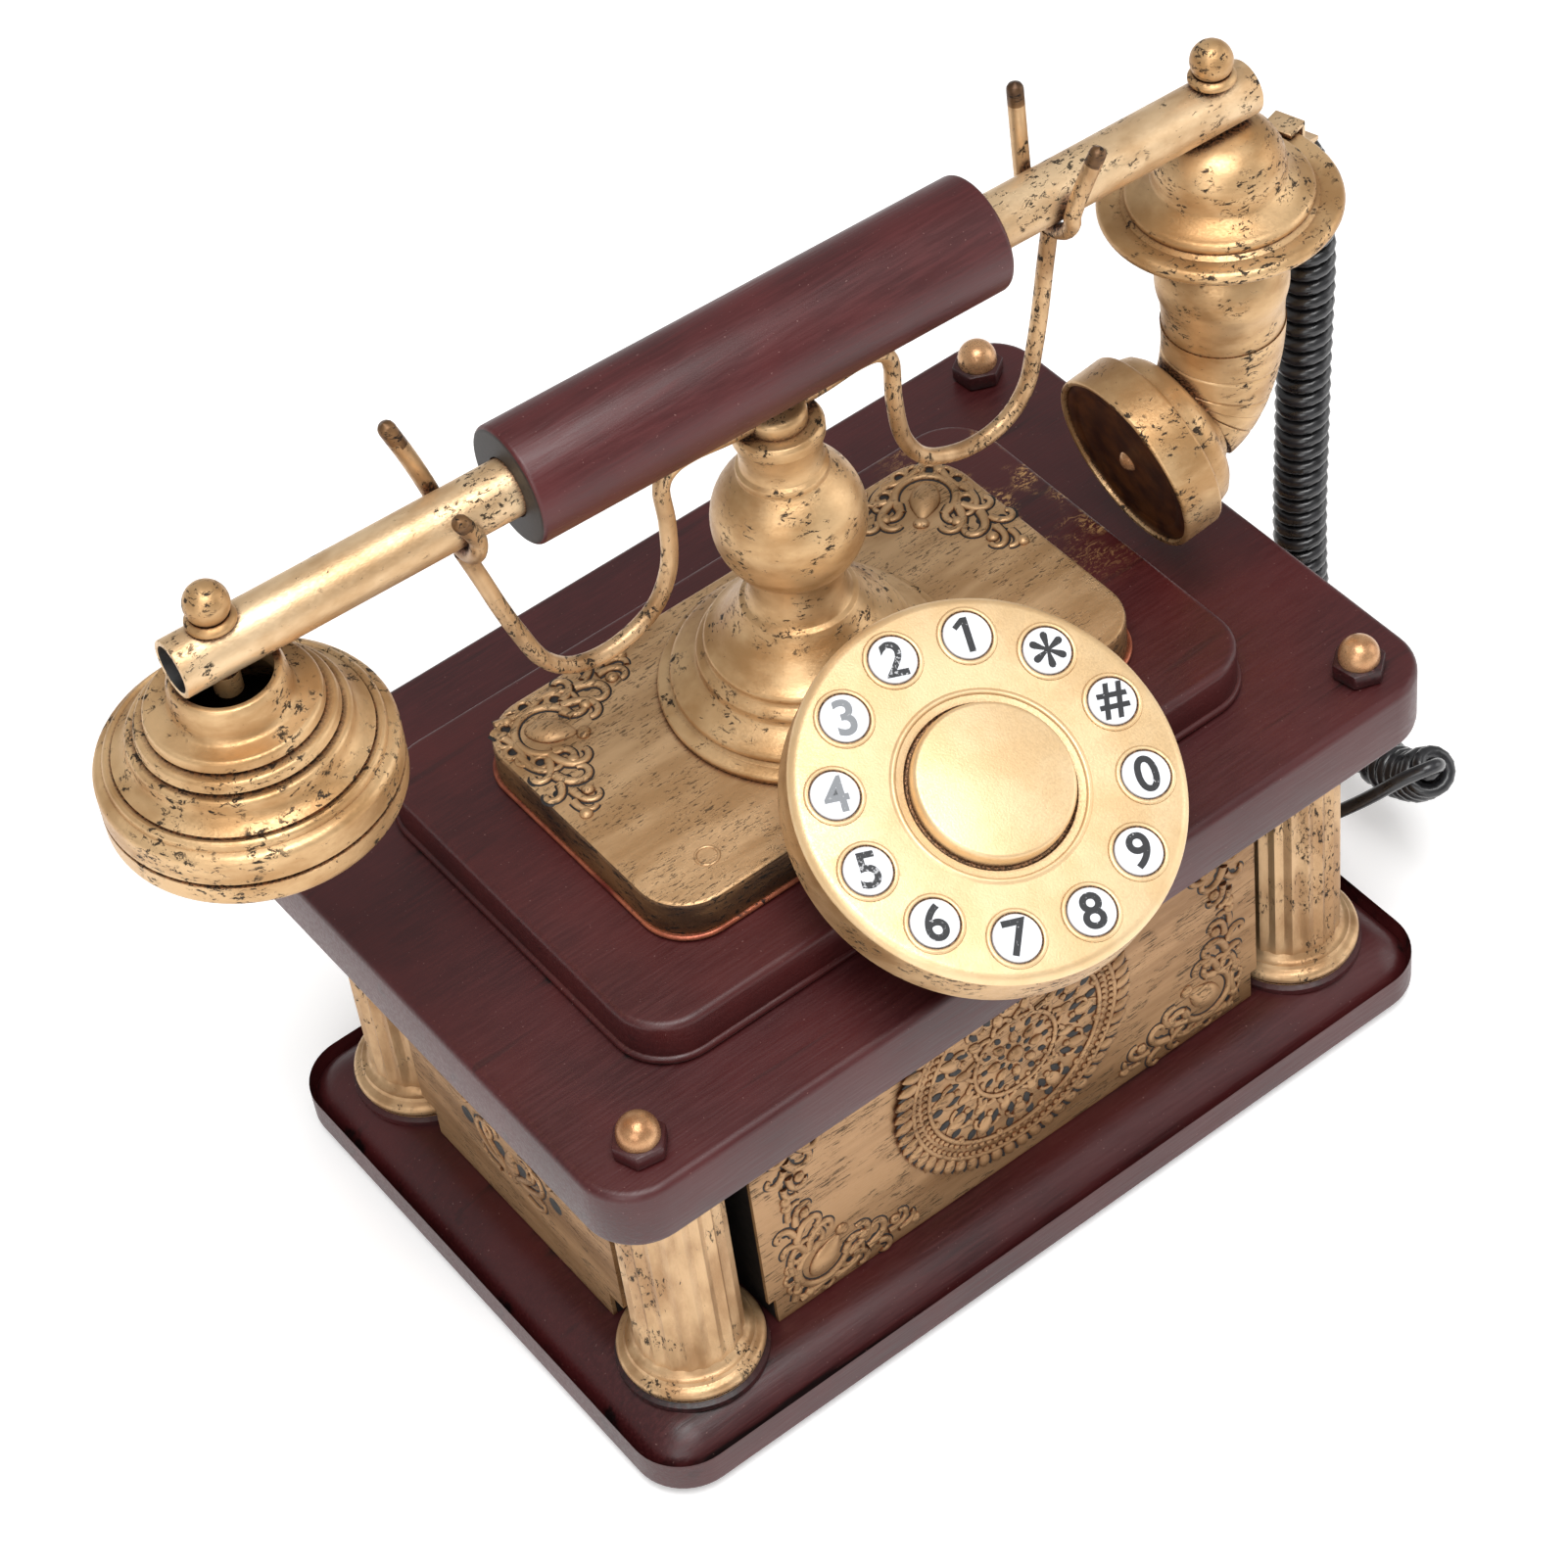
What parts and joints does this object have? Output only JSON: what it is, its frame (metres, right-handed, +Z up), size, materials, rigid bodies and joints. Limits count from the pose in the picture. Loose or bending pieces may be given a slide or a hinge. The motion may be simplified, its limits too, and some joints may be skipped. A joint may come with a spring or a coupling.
{
  "type": "vintage-style cradle telephone",
  "caption": "Vintage-style desk telephone: boards on columns round a panelled case, push-button dial, turned post with wire cradle, and a handset on a curly cord.",
  "frame": {"origin": "centre of the base board's underside, on the surface the telephone stands on", "axes": "+X to the right along the handset, from its earpiece end to its mouthpiece end; +Y to the back; +Z up; the dial faces -Y"},
  "size_m": [0.2344, 0.1351, 0.1871],
  "materials": {
    "antique_gold": "antique gold paint, satin, black rubbed into the hollows",
    "dial_gold": "pale satin gold",
    "maroon_paint": "burgundy-brown paint, satin",
    "black_plastic": "black, matte",
    "black_cord": "black vinyl, glossy",
    "key_white": "white, satin",
    "board_green": "green circuit board",
    "bell_brass": "plain brass",
    "spring_steel": "spring wire"
  },
  "bodies": {
    "base": {"base_board": "maroon_paint", "deck_board": "maroon_paint", "plinth_board": "maroon_paint", "column_front_left": "antique_gold", "cap_nut_front_left": "antique_gold", "column_front_right": "antique_gold", "cap_nut_front_right": "antique_gold", "column_rear_left": "antique_gold", "cap_nut_rear_left": "antique_gold", "column_rear_right": "antique_gold", "cap_nut_rear_right": "antique_gold", "front_panel": "antique_gold", "rear_panel": "antique_gold", "left_panel": "antique_gold", "right_panel": "antique_gold", "front_medallion": "antique_gold", "top_plate": "antique_gold", "post": "antique_gold", "dial_bracket": "antique_gold", "case_liner": "black_plastic", "ringer_coil": "black_plastic", "hook_switch": "black_plastic", "dial_back": "black_plastic", "cord_gland": "black_plastic", "curly_cord": "black_cord", "cord_tail": "black_cord", "key_mat": "black_cord", "dial_face": "dial_gold", "circuit_board": "board_green", "ringer_gong": "bell_brass", "hook_spring": "spring_steel"},
    "cradle": {"cradle_hub": "antique_gold", "cradle_wire_left": "antique_gold", "cradle_wire_right": "antique_gold", "fork_left": "antique_gold", "fork_right": "antique_gold"},
    "handset": {"handset_tube": "antique_gold", "handset_grip": "maroon_paint", "finial_left": "antique_gold", "finial_right": "antique_gold", "earpiece_shell": "antique_gold", "earpiece_cap": "antique_gold", "receiver_capsule": "black_plastic", "mouth_bell": "antique_gold", "mouth_elbow": "antique_gold", "mouth_cup": "antique_gold", "mic_capsule": "black_plastic", "cord_clip": "antique_gold"},
    "button_1": {"key_1": "key_white"},
    "button_2": {"key_2": "key_white"},
    "button_3": {"key_3": "key_white"},
    "button_4": {"key_4": "key_white"},
    "button_5": {"key_5": "key_white"},
    "button_6": {"key_6": "key_white"},
    "button_7": {"key_7": "key_white"},
    "button_8": {"key_8": "key_white"},
    "button_9": {"key_9": "key_white"},
    "button_0": {"key_0": "key_white"},
    "button_hash": {"key_hash": "key_white"},
    "button_star": {"key_star": "key_white"}
  },
  "joints": [
    {"name": "handset_lift", "type": "slide", "parent": "base", "child": "handset", "axis": [0, 0, 1], "range_m": [0, 0.06]},
    {"name": "cradle_travel", "type": "slide", "parent": "base", "child": "cradle", "axis": [0, 0, 1], "range_m": [0, 0.004], "deforming": ["hook_spring"]},
    {"name": "press_1", "type": "slide", "parent": "base", "child": "button_1", "axis": [0, 0.4509, -0.8926], "range_m": [0, 0.0012], "stiffness_N_per_m": 400, "springref_m": -0.0005},
    {"name": "press_2", "type": "slide", "parent": "base", "child": "button_2", "axis": [0, 0.4509, -0.8926], "range_m": [0, 0.0012], "stiffness_N_per_m": 400, "springref_m": -0.0005},
    {"name": "press_3", "type": "slide", "parent": "base", "child": "button_3", "axis": [0, 0.4509, -0.8926], "range_m": [0, 0.0012], "stiffness_N_per_m": 400, "springref_m": -0.0005},
    {"name": "press_4", "type": "slide", "parent": "base", "child": "button_4", "axis": [0, 0.4509, -0.8926], "range_m": [0, 0.0012], "stiffness_N_per_m": 400, "springref_m": -0.0005},
    {"name": "press_5", "type": "slide", "parent": "base", "child": "button_5", "axis": [0, 0.4509, -0.8926], "range_m": [0, 0.0012], "stiffness_N_per_m": 400, "springref_m": -0.0005},
    {"name": "press_6", "type": "slide", "parent": "base", "child": "button_6", "axis": [0, 0.4509, -0.8926], "range_m": [0, 0.0012], "stiffness_N_per_m": 400, "springref_m": -0.0005},
    {"name": "press_7", "type": "slide", "parent": "base", "child": "button_7", "axis": [0, 0.4509, -0.8926], "range_m": [0, 0.0012], "stiffness_N_per_m": 400, "springref_m": -0.0005},
    {"name": "press_8", "type": "slide", "parent": "base", "child": "button_8", "axis": [0, 0.4509, -0.8926], "range_m": [0, 0.0012], "stiffness_N_per_m": 400, "springref_m": -0.0005},
    {"name": "press_9", "type": "slide", "parent": "base", "child": "button_9", "axis": [0, 0.4509, -0.8926], "range_m": [0, 0.0012], "stiffness_N_per_m": 400, "springref_m": -0.0005},
    {"name": "press_0", "type": "slide", "parent": "base", "child": "button_0", "axis": [0, 0.4509, -0.8926], "range_m": [0, 0.0012], "stiffness_N_per_m": 400, "springref_m": -0.0005},
    {"name": "press_hash", "type": "slide", "parent": "base", "child": "button_hash", "axis": [0, 0.4509, -0.8926], "range_m": [0, 0.0012], "stiffness_N_per_m": 400, "springref_m": -0.0005},
    {"name": "press_star", "type": "slide", "parent": "base", "child": "button_star", "axis": [0, 0.4509, -0.8926], "range_m": [0, 0.0012], "stiffness_N_per_m": 400, "springref_m": -0.0005}
  ],
  "couplings": [
    {"joint": "cradle_travel", "follows": "handset_lift", "ratio": 0.0666}
  ]
}
